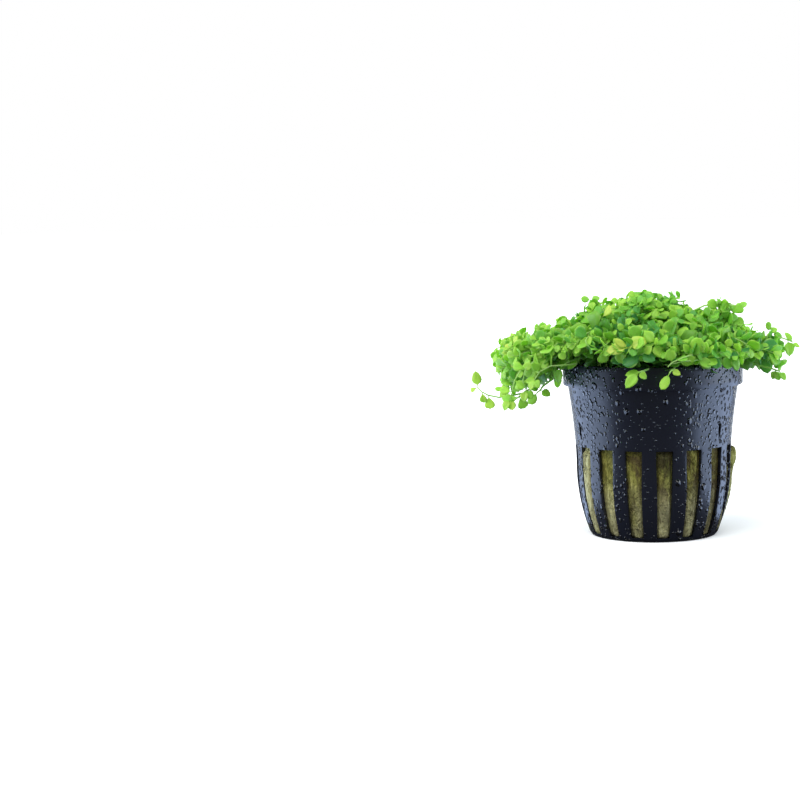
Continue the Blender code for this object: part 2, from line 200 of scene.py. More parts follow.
def meshFrom(bm, name):
    mesh = bpy.data.meshes.new(name)
    bm.to_mesh(mesh)
    bm.free()
    return mesh


def newPiece(name, bm, material, node):
    mesh = meshFrom(bm, name)
    mesh.shade_smooth()
    mesh.materials.append(material)
    piece = intoScene(name, mesh)
    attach(piece, "root")
    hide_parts(node)
    return piece


def spin(bm, geom, angle, steps, **how):
    bmesh.ops.spin(bm, geom=geom, cent=(0, 0, 0), axis=up, angle=angle, steps=steps, **how)


def tubes(paths, thickness, sides):
    # one mesh of closed round strands, each a list of (point, share of thickness)
    curve = bpy.data.curves.new("strands", "CURVE")
    curve.dimensions = "3D"
    curve.bevel_depth = thickness
    curve.bevel_resolution = sides
    curve.use_fill_caps = True
    for path in paths:
        spline = curve.splines.new("POLY")
        spline.points.add(len(path) - 1)
        for target, (point, share) in zip(spline.points, path):
            target.co = (*point, 1)
            target.radius = share
    carrier = intoScene("strands", curve)
    bpy.context.view_layer.update()
    made = bpy.data.meshes.new_from_object(carrier.evaluated_get(bpy.context.evaluated_depsgraph_get()))
    bpy.data.objects.remove(carrier)
    bpy.data.curves.remove(curve)
    return made


cameraPlan = Plan(
    place=(0, -0.6, 0.1),
    yaw=radians(7.05),  # to the left
    pitch=radians(-5.7), roll=radians(-1.2), lens=92.4, nearest=0.01,
)

studio = Plan(
    floorRadius=6, floorSides=96, floorColour=(0.9, 0.9, 0.9, 1),
    bounceColour=(0.07, 0.07, 0.075, 1),  # what the object sees of the floor
    floorGlow=0.16, skyColour=(0.9, 0.95, 1, 1), skyStrength=0.95,
    sheenSkyStrength=0.12,  # what glossy surfaces see of the sky
    overheadStrength=3, overheadAngle=radians(55), overheadFrom=(-0.35, -0.45, 1),
)

# name: (place, point it faces, width, height, watts, colour)
lightPlan = {
    "leftWall": ((-0.6, 0.1, 0.16), (0, 0.02, 0.03), 0.55, 0.3, 2.3, (0.8, 0.9, 1)),
    "rightWall": ((0.6, 0.1, 0.16), (0, 0.02, 0.03), 0.55, 0.3, 2.3, (0.8, 0.9, 1)),
    "farBack": ((0, 0.55, 0.001), (0, 0.55, 1), 0.43, 0.5, 1.6, (0.85, 0.92, 1)),
    "nearBack": ((0, 0.22, 0.001), (0, 0.22, 1), 0.2, 0.16, 0.17, (0.85, 0.92, 1)),
}

# bright cards on the floor that face up, each a square with one corner near the pot:
# (azimuths of the two edges that meet there, side, distance of the corner, watts, colour)
cardPlan = {
    "leftCard": (-54, -144, 0.5, 0.016, 2.45, (0.53, 0.68, 1)),
    "rightCard": (140, 50, 0.5, 0.018, 2.6, (0.53, 0.68, 1)),
}


def makeCamera(plan):
    yaw = plan.yaw
    pitch = plan.pitch
    ahead = Vector((-sin(yaw) * cos(pitch), cos(yaw) * cos(pitch), sin(pitch)))
    camera = intoScene("camera", bpy.data.cameras.new("camera"))
    camera.data.lens = plan.lens
    camera.data.sensor_fit = "HORIZONTAL"
    camera.data.clip_start = plan.nearest
    camera.location = plan.place
    level = ahead.to_track_quat("-Z", "Y").to_matrix()
    camera.rotation_euler = (level @ Matrix.Rotation(plan.roll, 3, "Z")).to_euler()
    bpy.context.scene.camera = camera


def makeLight(name, place, target, width, height, watts, colour):
    data = bpy.data.lights.new(name, "AREA")
    data.shape = "RECTANGLE"
    data.size = width
    data.size_y = height
    data.energy = watts
    data.color = colour
    lamp = intoScene(name, data)
    lamp.location = place
    lamp.rotation_euler = (Vector(target) - Vector(place)).to_track_quat("-Z", "Y").to_euler()
    lamp.visible_camera = False
    return lamp


def makeCard(name, first, second, side, gap, watts, colour):
    first = direction(radians(first))
    second = direction(radians(second))
    middle = (first + second) * (side / 2 + gap) + up * mm
    lamp = makeLight(name, middle, middle + up, side, side, watts, colour)
    lamp.rotation_euler = Matrix((first, second, first.cross(second))).transposed().to_euler()


def makeOverhead(plan):
    data = bpy.data.lights.new("overheadDiffuser", "SUN")
    data.energy = plan.overheadStrength
    data.angle = plan.overheadAngle
    lamp = intoScene("overheadDiffuser", data)
    lamp.rotation_euler = (-Vector(plan.overheadFrom)).to_track_quat("-Z", "Y").to_euler()


def makeFloor(plan):
    bm = bmesh.new()
    bmesh.ops.create_circle(bm, cap_ends=True, segments=plan.floorSides, radius=plan.floorRadius)
    floor = intoScene("studioFloor", meshFrom(bm, "studioFloor"))
    finish = Finish(bpy.data.materials.new("floorPaper"))
    seen = finish.node("LightPath", output="Is Camera Ray")
    paper = finish.node("BsdfDiffuse", {}, {"Color": plan.floorColour})
    glow = finish.node("Emission", {}, {"Color": white, "Strength": plan.floorGlow})
    bright = finish.node("AddShader", {}, {0: paper, 1: glow})
    bounce = finish.node("BsdfDiffuse", {}, {"Color": plan.bounceColour})
    shown = finish.node("MixShader", {}, {0: seen, 1: bounce, 2: bright})
    floor.data.materials.append(finish.close(shown))


def makeSky(plan):
    finish = Finish(bpy.data.worlds.new("studioSky"))
    sky = {"Color": plan.skyColour}
    shown = finish.node("Background", {}, {**sky, "Strength": plan.skyStrength})
    sheen = finish.node("Background", {}, {**sky, "Strength": plan.sheenSkyStrength})
    plain = finish.node("Background", {}, {"Color": white, "Strength": 1})
    for ray, other in (("Is Glossy Ray", sheen), ("Is Camera Ray", plain)):
        seen = finish.node("LightPath", output=ray)
        shown = finish.node("MixShader", {}, {0: seen, 1: shown, 2: other})
    bpy.context.scene.world = finish.close(shown, "OutputWorld")


makeCamera(cameraPlan)
makeFloor(studio)
makeSky(studio)
makeOverhead(studio)
for name, settings in lightPlan.items():
    makeLight(name, *settings)
for name, settings in cardPlan.items():
    makeCard(name, *settings)
bpy.context.scene.view_settings.view_transform = "Standard"
print("camera, floor and light ready")


pot = metres(dict(
    height=50.7, baseRadius=18.3, waistRadius=22.3, waistHeight=20, shoulderRadius=24.7,
    shoulderHeight=43.8, collarRadius=26, collarBottom=44.2, wall=1, floor=1, floorEdge=16.6,
    slotBottom=1.2, slotTop=26.6, slotWidthTop=4.95, slotWidthBottom=3.6, hubRadius=5.5,
    hubMiddle=3, baseRingRadius=15.2,
    foot=[(17.5, 0), (18.05, 0.12), (18.33, 0.5)],  # (radius, height) round the foot's edge
    belowSlots=0.85,  # rows of wall just below and above the slots
    aboveSlots=27.6,
    underCollar=0.15,  # in and down from the collar's lower edge
    collarRows=(0.1, 0.35),  # how far they stay from its lower and upper edge
    # (stand back from the collar's face, height under the rim) over the rim's edge
    lip=[(0.12, 0.1), (0.4, 0), (0.85, 0.08), (1, 0.4)],
    innerRows=[46.5, 44.1], slitBottom=28.6, slitTop=33.8, slitWidth=1.3, slitSlack=0.01,
    edgeRounding=0.16, weld=0.002, sliver=0.001,
))
pot.update(
    flarePower=1.7, ribs=16, firstRib=radians(-3), barHalfAngle=radians(7),
    slitAzimuths=[radians(-65), radians(55), radians(175)],
    # width of a slit at shares of its height
    slitShape=[(0, 0.12), (0.25, 0.5), (0.55, 0.95), (0.8, 1), (1, 0.3)],
    slitTie=0.001,  # columns whose distances from a slit differ by less are equally near
    sameColumn=0.012,  # faces that stand closer than this are in one column
    bevelAngle=radians(50), sharpAngle=radians(40),
    rows={"slot": 18, "slit": 6, "upper": 8, "collar": 5, "opening": 5},
    ribColumns=6, slotColumns=6,
)
ribPitch = tau / pot.ribs
cellPitch = 2 * ribPitch
halfRib = pot.ribColumns // 2
slotColumns = pot.slotColumns
cellColumns = 4 * halfRib + 2 * slotColumns
# kind, first and last column of the holes in a cell, which runs from one bar of the base to the next
windows = [
    ("slot", halfRib, halfRib + slotColumns),
    ("slot", 3 * halfRib + slotColumns, 3 * halfRib + 2 * slotColumns),
    ("opening", halfRib, 3 * halfRib + 2 * slotColumns),
]


def wallRadius(height):
    if height < pot.waistHeight:
        share = (pot.waistHeight - height) / pot.waistHeight
        return pot.waistRadius - (pot.waistRadius - pot.baseRadius) * share**2
    share = (height - pot.waistHeight) / (pot.collarBottom - pot.waistHeight)
    flare = pot.shoulderRadius - pot.waistRadius
    return pot.waistRadius + flare * min(share, 1) ** pot.flarePower


def slotHalfAngle(height):
    share = (height - pot.slotBottom) / (pot.slotTop - pot.slotBottom)
    share = min(max(share, 0), 1)
    width = pot.slotWidthBottom + (pot.slotWidthTop - pot.slotWidthBottom) * share
    return width / 2 / wallRadius(height)


def evenly(low, high, count):
    return [low + (high - low) * step / count for step in range(count + 1)]


def potProfile():
    # (radius, height, kind) from the middle of the underside, round the wall and back to the floor's middle
    def wall(heights, kind="wall", inward=0):
        return [(wallRadius(height) - inward, height, kind) for height in heights]

    def level(height, kind, radii):
        return [(radius, height, kind) for radius in radii]

    count = pot.rows
    slots = evenly(pot.slotBottom, pot.slotTop, count["slot"])
    slits = evenly(pot.slitBottom, pot.slitTop, count["slit"])
    upper = evenly(pot.slitTop, pot.shoulderHeight, count["upper"])[1:]
    openings = evenly(pot.hubRadius, pot.baseRingRadius, count["opening"])
    collar = pot.collarRadius
    edge = pot.collarBottom
    top = pot.height
    low, high = pot.collarRows
    rows = level(0, "base", [0, pot.hubMiddle]) + level(0, "opening", openings)
    rows += [(radius, height, "base") for radius, height in pot.foot]
    rows += wall([pot.belowSlots]) + wall(slots, "slot") + wall([pot.aboveSlots] + slits + upper)
    rows += [(collar - pot.underCollar, edge - pot.underCollar, "wall")]
    rows += [(collar, height, "wall") for height in evenly(edge + low, top - high, count["collar"])]
    rows += [(collar - back, top - under, "wall") for back, under in pot.lip]
    rows += [(collar - pot.wall, height, "wall") for height in pot.innerRows]
    rows += wall(reversed(slits + upper[:-1]), "wall", pot.wall)
    rows += wall(reversed(slots), "slot", pot.wall)
    rows += [(pot.floorEdge, pot.floor, "base")]
    rows += level(pot.floor, "opening", reversed(openings))
    return rows + level(pot.floor, "base", [pot.hubMiddle, 0])


def columnAngle(column, row):
    radius, height, kind = row
    firstSlot, nextSlot, opening = (window[1:] for window in windows)
    if kind in ("base", "opening"):
        stops = zip(opening, (pot.barHalfAngle, cellPitch - pot.barHalfAngle))
    else:
        half = slotHalfAngle(height)
        edges = [middle + side * half for middle in (ribPitch / 2, ribPitch * 1.5) for side in (-1, 1)]
        stops = zip(firstSlot + nextSlot, edges)
    return linear([(0, 0), *stops, (cellColumns, cellPitch)], column)


def cutThrough(bm, holes):
    # takes each list of faces out of both walls and joins the two rims that it leaves
    rims = []
    for faces in holes:
        edges = {edge for face in faces for edge in face.edges}
        rims.append([edge for edge in edges if sum(face in faces for face in edge.link_faces) == 1])
    bmesh.ops.delete(bm, geom=[face for faces in holes for face in faces], context="FACES")
    for rim in rims:
        bmesh.ops.bridge_loops(bm, edges=[edge for edge in rim if edge.is_valid])


def azimuthOf(point):
    return atan2(point.x, -point.y)


def wrapped(angle):
    return (angle + pi) % tau - pi


def cutSlits(bm):
    # a slit is one column of faces, drawn to a wedge
    low = pot.slitBottom
    high = pot.slitTop
    for azimuth in pot.slitAzimuths:
        faces = []
        for face in bm.faces:
            middle = face.calc_center_median()
            away = abs(wrapped(azimuthOf(middle) - azimuth))
            if low - pot.slitSlack < middle.z < high + pot.slitSlack and away < ribPitch:
                faces.append((away, azimuthOf(middle), face))
        nearest = min(away for away, angle, face in faces)
        centre = [angle for away, angle, face in faces if away < nearest + pot.slitTie][0]
        chosen = [face for away, angle, face in faces if abs(wrapped(angle - centre)) < pot.sameColumn]
        for vert in {vert for face in chosen for vert in face.verts}:
            radius = vert.co.xy.length
            wide = linear(pot.slitShape, (vert.co.z - low) / (high - low))
            side = copysign(1, wrapped(azimuthOf(vert.co) - centre))
            angle = azimuth + side * wide * pot.slitWidth / 2 / radius
            vert.co = direction(angle) * radius + up * vert.co.z
        cutThrough(bm, [chosen])


def buildPot():
    rows = potProfile()
    bm = bmesh.new()
    bmesh.ops.create_grid(bm, x_segments=cellColumns, y_segments=len(rows) - 1, size=0.5)
    columnOf = bm.verts.layers.int.new("column")
    rowOf = bm.verts.layers.int.new("row")
    for vert in bm.verts:
        vert[columnOf] = round((vert.co.x + 0.5) * cellColumns)
        vert[rowOf] = round((vert.co.y + 0.5) * (len(rows) - 1))
        row = rows[vert[rowOf]]
        vert.co = direction(pot.firstRib + columnAngle(vert[columnOf], row)) * row[0] + up * row[1]
    holes = [[] for window in windows]
    for face in bm.faces:
        kinds = {rows[vert[rowOf]][2] for vert in face.verts}
        middle = sum(vert[columnOf] for vert in face.verts) / 4
        for hole, (kind, first, last) in zip(holes, windows):
            if kinds == {kind} and first < middle < last:
                hole.append(face)
    cutThrough(bm, holes)
    spin(bm, bm.verts[:] + bm.edges[:] + bm.faces[:], tau * 7 / 8, 7, use_duplicate=True)
    bmesh.ops.remove_doubles(bm, verts=bm.verts[:], dist=pot.weld)
    bmesh.ops.dissolve_degenerate(bm, edges=bm.edges[:], dist=pot.sliver)
    cutSlits(bm)
    bmesh.ops.recalc_face_normals(bm, faces=bm.faces[:])
    sharp = [edge for edge in bm.edges if edge.is_manifold and edge.calc_face_angle() > pot.bevelAngle]
    bmesh.ops.bevel(
        bm, geom=sharp, offset=pot.edgeRounding, affect="EDGES", segments=2, profile=0.5, material=-1,
        clamp_overlap=True,
    )
    print("open edges of the pot:", sum(not edge.is_manifold for edge in bm.edges))
    return bm


potLook = Plan(
    plastic=(0.0024, 0.004, 0.012, 1),
    # (strength, colour); the wet beads darken the colour, as painted shade that makes them read dark
    smear=(1, (0.0042, 0.0062, 0.0165, 1)), wetAndShaded=(0.7, (0.0018, 0.0022, 0.005, 1)),
    roughness=0.27, smearRoughness=0.12, wetRoughness=0.11, refraction=1.6,
    # (upright scale, cells per metre, detail)
    grainPattern=(1, 1400, 2), smearPattern=(0.35, 90, 3),
    grain=0.02 * mm, grainStrength=0.2, beadRelief=2.1 * mm,
    wetFrom=(0.02, 0.12),  # height of a bead in millimetres, where it counts as wet
    beadHeight=0.78,  # beads are drawn out upwards
    leastReach=0.0001,  # radius of a bead that isn't there, in cells
    sides=(4 * mm, 13 * mm),  # from the middle, where the beads begin to crowd and are densest
    # water beads: cells per metre, largest radius in cells, patches per metre, the patch pattern's values
    # where beads begin and are full, and the share of their size that is left in the middle
    beads=[
        (880, 0.37, 200, 0.1, 0.34, 0.42),
        (520, 0.31, 160, 0.2, 0.41, 0.55),
        (230, 0.2, 110, 0.34, 0.52, 0.95),
    ],
)


def potFinish():
    # satin navy plastic with fine water beads
    look = potLook
    finish = Finish(bpy.data.materials.new("wetNavyPlastic"))
    place = finish.place()
    stretched = finish.place(look.beadHeight)
    aside = finish.between(abs(finish.axis(place, "X")), *look.sides)
    height = 0  # of the beads, in millimetres
    for scale, share, patchScale, low, high, left in look.beads:
        cell = finish.node("TexVoronoi", {"feature": "F1"}, {"Vector": stretched, "Scale": scale})
        patch = finish.between(finish.pattern(1, patchScale, 1), low, high)
        reach = patch * (left + (1 - left) * aside) * share + look.leastReach
        part = cell / reach
        dome = (1 - part * part).atLeast(0) ** 0.5
        height = dome * reach * (1 / mm / scale) + height
    wetAndShaded = finish.between(height, *look.wetFrom)
    grain = finish.pattern(*look.grainPattern)
    smear = finish.pattern(*look.smearPattern)
    # the beads darken the plastic's colour: painted shade standing in for the dark that they reflect
    colour = finish.layers(look.plastic, look, {"smear": smear, "wetAndShaded": wetAndShaded})
    roughness = look.roughness + look.smearRoughness * smear
    roughness = roughness * (1 - wetAndShaded) + look.wetRoughness * wetAndShaded
    beaded = finish.bump(height, look.beadRelief, Normal=finish.bump(grain, look.grain, look.grainStrength))
    return finish.close(finish.surface(colour, roughness, beaded, IOR=look.refraction))


moulding = newPiece("netPotMoulding", buildPot(), potFinish(), "net_pot")
moulding.data.set_sharp_from_angle(angle=pot.sharpAngle)
print("pot ready")


wool = metres(dict(
    top=46, bottom=1.3, corner=0.8,
    clearance=1.3,  # from the outside of the wall to the plug, behind a rib
    stillRadius=10,  # the wool is smooth nearer to the axis than this
    padBottom=1.3, padTop=26.3, lump=0.5, lumpHeight=7,
    # how far the wool stands back in a slot, counted to the right from the slot beside the middle
    standBack={-4: 1, -3: -0.2, -2: 1.2, -1: 0.8, 0: 0.3, 1: 0.6, 2: 1.5, 3: 1.9, 4: 0},
    otherStandBack=0.6, strandRadius=0.075, strandStep=(0.35, 0.85),
    strandGap=0.3,  # from the ends of the slot
))
wool.update(
    cornerDepth=0.6,
    # streaks of the wool: how many round the plug, their height and how far they stand out
    streaks=[(90, 4 * mm, 0.22 * mm), (260, 1.5 * mm, 0.11 * mm)],
    padPower=5,
    padEnd=0.07,  # share of the height over which the pad runs out at its top
    backAtBottom=0.2,  # share of the stand back at the pad's bottom
    backRise=1.3,  # and what is added to it towards the top
    lumpTurn=3.7,
    # how far the wool swells out on its right, in millimetres at shares of the slot's height
    swellRight=[
        (0, 0), (0.1, 0.3), (0.25, 0.6), (0.45, 0.75), (0.65, 1.2), (0.8, 1.8), (0.87, 1.7), (1, 0.3)
    ],
    leanAzimuth=radians(97), leanPower=4,
    # how far the wool stands to the right in its slot, as a share of the slot's half width
    aside={-4: 0.1, -3: 0.04, -2: 0.26, -1: 0.13, 0: 0.02, 1: -0.1, 2: -0.18, 3: 0.13, 4: 0.1},
    # how wide the wool is in its slot, as a share of the slot's width
    width={-3: 0.92, -2: 0.7, -1: 0.84, 0: 0.9, 1: 0.86, 2: 0.78},
    otherWidth=0.86, steps=384, rows=76, strandsPerSlot=120, strandPoints=6,
    strandAcross=(0.92, 0.96),  # the most, where a strand begins and anywhere, in half widths of the slot
    strandHeading=0.75, strandBend=0.3,
    strandLift=(-0.02, 0.2),  # in millimetres
)


def plugRadius(azimuth, height):
    rib = (azimuth - pot.firstRib) // ribPitch
    slotMiddle = pot.firstRib + (rib + 0.5) * ribPitch
    index = wrapped(slotMiddle) // ribPitch
    side = abs(wrapped(azimuth - slotMiddle) / slotHalfAngle(height) - wool.aside.get(index, 0))
    side /= wool.width.get(index, wool.otherWidth)
    behind = wallRadius(height) - wool.clearance
    share = (height - wool.padBottom) / (wool.padTop - wool.padBottom)
    if not 0 <= share < 1 or side >= 1:
        return behind
    swell = linear(wool.swellRight, share) * mm
    swell *= max(0, cos(azimuth - wool.leanAzimuth)) ** wool.leanPower
    back = wool.standBack.get(index, wool.otherStandBack)
    back *= wool.backAtBottom + wool.backRise * share
    lump = noise.noise(Vector((rib * wool.lumpTurn, height / wool.lumpHeight, 0))) * wool.lump
    face = wallRadius(height) + swell + lump - back
    pillow = (1 - side ** wool.padPower) * smoothstep((1 - share) / wool.padEnd)
    return behind + (face - behind) * pillow


def buildPlug():
    bm = bmesh.new()
    low = wool.bottom
    ring = [bm.verts.new((0, 0, low))]
    for height in evenly(low, wool.top, wool.rows):
        share = max(0, 1 - (height - low) / wool.corner)
        corner = wool.corner * (1 - sqrt(max(0, 1 - share**2))) * wool.cornerDepth
        ring.append(bm.verts.new((0, -(wallRadius(height) - wool.clearance - corner), height)))
    ring.append(bm.verts.new((0, 0, wool.top)))
    edges = [bm.edges.new(pair) for pair in zip(ring, ring[1:])]
    spin(bm, ring + edges, tau, wool.steps, use_merge=True)
    bmesh.ops.remove_doubles(bm, verts=bm.verts[:], dist=pot.weld)
    for vert in bm.verts:
        radius = vert.co.xy.length
        if radius < wool.stillRadius:
            continue
        azimuth = azimuthOf(vert.co)
        radius += plugRadius(azimuth, vert.co.z) - (wallRadius(vert.co.z) - wool.clearance)
        for layer, (count, tall, relief) in enumerate(wool.streaks):
            radius += noise.noise(Vector((azimuth * count, vert.co.z / tall, 3 + 5 * layer))) * relief
        vert.co = direction(azimuth) * radius + up * vert.co.z
    bmesh.ops.recalc_face_normals(bm, faces=bm.faces[:])
    return bm


def strandPaths(chance):
    # short curly fibres that lie on the wool in each slot
    paths = []
    low = wool.padBottom
    high = wool.padTop
    start, most = wool.strandAcross
    for slotIndex in range(pot.ribs):
        middle = pot.firstRib + (slotIndex + 0.5) * ribPitch
        for strand in range(wool.strandsPerSlot):
            height = chance.uniform(low + wool.strandGap, high - wool.strandGap)
            across = chance.uniform(-start, start)
            heading = chance.gauss(0, wool.strandHeading)
            bend = chance.gauss(0, wool.strandBend)
            step = chance.uniform(*wool.strandStep)
            lift = chance.uniform(*wool.strandLift) * mm
            path = []
            for index in range(wool.strandPoints):
                half = slotHalfAngle(height)
                arch = sin(pi * index / (wool.strandPoints - 1))
                radius = plugRadius(middle + across * half, height) + lift * arch
                path.append((direction(middle + across * half) * radius + up * height, 0.5 + 0.5 * arch))
                heading += bend
                height += cos(heading) * step
                across += sin(heading) * step / (half * radius)
                if abs(across) > most or not low < height < high:
                    break
            if len(path) > 2:
                paths.append(path)
    return paths


woolLook = Plan(
    # colour of the fibre, from painted shade between the strands to painted light on them
    shades=[
        (0.32, (0.02, 0.014, 0.002, 1)),
        (0.43, (0.1, 0.08, 0.011, 1)),
        (0.53, (0.24, 0.228, 0.032, 1)),
        (0.66, (0.52, 0.47, 0.13, 1)),
    ],
    # (strength, colour)
    pale=(0.88, (0.57, 0.54, 0.28, 1)), moss=(0.75, (0.022, 0.06, 0.01, 1)),
    brownAndShade=(0.65, (0.06, 0.036, 0.008, 1)), rightShade=(0.62, (0.085, 0.058, 0.01, 1)),
    roughness=0.85, relief=0.8 * mm, fibreShare=0.45, leftPale=0.85, lowerBrown=0.45,
    # (upright scale, cells per metre, detail, roughness, distortion)
    fibre=(0.4, 900, 4, 0.65, 1.6), clump=(0.5, 200, 3, 0.6, 0.8), patch=(0.5, 95, 2),
    # the values of a pattern between which a colour comes in
    paleFibre=(0.28, 0.5), footPatch=(0.18, 0.46), mossPatch=(0.4, 0.58), brownClump=(0.62, 0.4),
)
# the places between which a colour comes in, in millimetres from the axis or from the base
woolPlaces = metres(dict(
    left=(-14, -19), foot=(20, 6), offMiddle=2, middle=(12, 7), upper=(10, 24), front=(-1, -3),
    moss=(13, 24), right=(13.2, 14.8),
))


def woolFinish():
    look = woolLook
    at = woolPlaces
    finish = Finish(bpy.data.materials.new("mossyRockwool"))
    place = finish.place()
    across = finish.axis(place, "X")
    height = finish.axis(place, "Z")
    fibre = finish.pattern(*look.fibre)
    clump = finish.pattern(*look.clump)
    patch = finish.pattern(*look.patch)
    # the fibre's ramp paints shade and light onto its strands
    colour = finish.ramp(fibre * look.fibreShare + clump * (1 - look.fibreShare), look.shades)
    # pale at the foot and on the left as painted light, mossy in the middle above it, brown higher up with
    # painted shade added, darker on the right as painted shade
    left = finish.between(across, *at.left)
    low = finish.between(height, *at.foot) * finish.between(patch, *look.footPatch)
    middle = finish.between(abs(across + at.offMiddle), *at.middle)
    upper = finish.between(height, *at.upper) * (1 - look.lowerBrown) + look.lowerBrown
    front = finish.between(finish.axis(place, "Y"), *at.front)
    masks = {
        # painted light: the pale fibre comes in at the foot and on the left
        "pale": (low + left * look.leftPale).atMost(1) * finish.between(fibre, *look.paleFibre),
        "moss": finish.between(height, *at.moss) * finish.between(patch, *look.mossPatch) * middle,
        # brown in the clumps is partly the wool's colour and partly painted shade, stronger higher up
        "brownAndShade": finish.between(clump, *look.brownClump) * upper * (1 - left),
        # painted shade: darker on the right towards the front
        "rightShade": finish.between(across, *at.right) * front,
    }
    colour = finish.layers(colour, look, masks)
    relief = finish.bump(fibre, look.relief)
    return finish.close(finish.surface(colour, look.roughness, relief))


plug = buildPlug()
plug.from_mesh(tubes(strandPaths(random.Random(41)), wool.strandRadius, 0))
newPiece("rockwoolFibre", plug, woolFinish(), "rockwool_plug")
print("rockwool ready")


# stations of a blade from its stalk to its tip: (share of length, share of half width)
bladeShapes = {
    "round": [(0, 0.07), (0.13, 0.09), (0.27, 0.66), (0.46, 0.97), (0.68, 0.99), (0.88, 0.7), (1, 0.22)],
    "egg": [(0, 0.06), (0.15, 0.08), (0.27, 0.74), (0.44, 1), (0.66, 0.88), (0.87, 0.55), (1, 0.14)],
    "spoon": [(0, 0.06), (0.18, 0.09), (0.36, 0.52), (0.56, 0.88), (0.76, 1), (0.92, 0.72), (1, 0.3)],
}
# lengths are shares of a blade's own
blade = Plan(
    columns=(4, 2),  # in a blade in sight and in a sheltered one
    thickness=0.045, cups=[0.1, 0.22, -0.06], cupPower=1.5, curls=[-0.1, -0.3, 0.12],
    curlFrom=0.15, tipRounding=0.045, ripple=0.018,
    rippleTurns=(9, 2),  # along the blade and across it
)


def bladePrototype(shape, cup, curl, columns, name):
    # a blade one unit long and one wide, from its stalk at the origin along +Y, its upper face towards +Z
    stations = bladeShapes[shape][:: 1 if columns > 2 else 2]
    bm = bmesh.new()
    rows = len(stations) - 1
    bmesh.ops.create_grid(bm, x_segments=columns, y_segments=rows, size=0.5)
    alongTurns, acrossTurns = blade.rippleTurns
    for vert in bm.verts:
        across = vert.co.x * 2
        row = round((vert.co.y + 0.5) * rows)
        along, half = stations[row]
        rounding = blade.tipRounding * across**2 if row == rows else 0
        ripple = blade.ripple * sin(along * alongTurns + across * acrossTurns) * abs(across)
        cupped = cup * abs(across) ** blade.cupPower * half * 0.5
        lift = cupped + curl * (along - blade.curlFrom) ** 2 + ripple
        vert.co = Vector((across * half * 0.5, along - rounding, lift))
    bmesh.ops.recalc_face_normals(bm, faces=bm.faces[:])
    if sum(face.normal.z for face in bm.faces) < 0:
        bmesh.ops.reverse_faces(bm, faces=bm.faces[:])
    bmesh.ops.solidify(bm, geom=bm.faces[:], thickness=blade.thickness)
    layer = bm.loops.layers.uv.new("blade")
    for face in bm.faces:
        for loop in face.loops:
            loop[layer].uv = (loop.vert.co.x + 0.5, loop.vert.co.y)
    bm.verts.layers.float_color.new("growth")
    return meshFrom(bm, name)


bladeMeshes = [
    [
        bladePrototype(shape, cup, curl, columns, f"{shape}Blade")
        for shape in bladeShapes
        for cup, curl in zip(blade.cups, blade.curls)
    ]
    for columns in blade.columns
]


def leafMatrix(foot, grow, face, length, width):
    # +Y of the blade along grow, +Z towards face
    grow = grow.normalized()
    side = grow.cross(face)
    if side.length < 1e-4:
        side = grow.orthogonal()
    side.normalize()
    normal = side.cross(grow)
    turn = Matrix((side * width, grow * length, normal * length)).transposed().to_4x4()
    return Matrix.Translation(foot) @ turn


def addGrowing(bm, mesh, growth):
    # adds a mesh and gives its points their growth
    start = len(bm.verts)
    bm.from_mesh(mesh)
    bm.verts.ensure_lookup_table()
    fresh = bm.verts[start:]
    layer = bm.verts.layers.float_color["growth"]
    for vert in fresh:
        vert[layer] = growth
    return fresh


def addLeaf(bm, shape, matrix, growth, sheltered=False):
    row = bladeMeshes[1 if sheltered else 0]
    bmesh.ops.transform(bm, matrix=matrix, verts=addGrowing(bm, row[shape % len(row)], growth))


def emptyFoliage():
    bm = bmesh.new()
    bm.loops.layers.uv.new("blade")
    bm.verts.layers.float_color.new("growth")
    return bm


leafLook = Plan(
    tones=[
        (0, (0.028, 0.175, 0.068, 1)),
        (0.25, (0.074, 0.335, 0.086, 1)),
        (0.5, (0.22, 0.55, 0.07, 1)),
        (0.8, (0.43, 0.72, 0.085, 1)),
        (1, (0.76, 0.78, 0.14, 1)),
    ],
    # (strength, colour)
    vein=(0.35, (0.3, 0.62, 0.09, 1)), rib=(0.1, (0.3, 0.6, 0.08, 1)),
    # the margin is a paler leaf edge with a painted highlight along it
    marginHighlight=(0.55, (0.58, 0.8, 0.18, 1)), pale=(0.9, (0.58, 0.74, 0.3, 1)),
    # the near-black green is painted shade for leaves deep in the mound, partly the darker green of older
    # leaves
    deep=(1, (0.01, 0.075, 0.022, 1)), refraction=1.42, glow=(0.46, 0.82, 0.11, 1), glowShare=0.45,
    # from the midrib, from the stalk and from the midrib again, as shares of the blade
    veinWidth=(0.03, 0.008), veinEnd=(1, 0.7), marginFrom=(0.34, 0.48),
    ribPattern={"Scale": 3.2, "Distortion": 1.2, "Detail": 1},
    mottlePattern=(1, 420, 3), mottleTone=0.2,
    roughness=(0.31, 0.16),  # the least, and what the mottle adds
    relief=0.12 * mm, reliefStrength=0.7, heights=(-0.6, 0.25, 0.4),  # of vein, rib and mottle
)


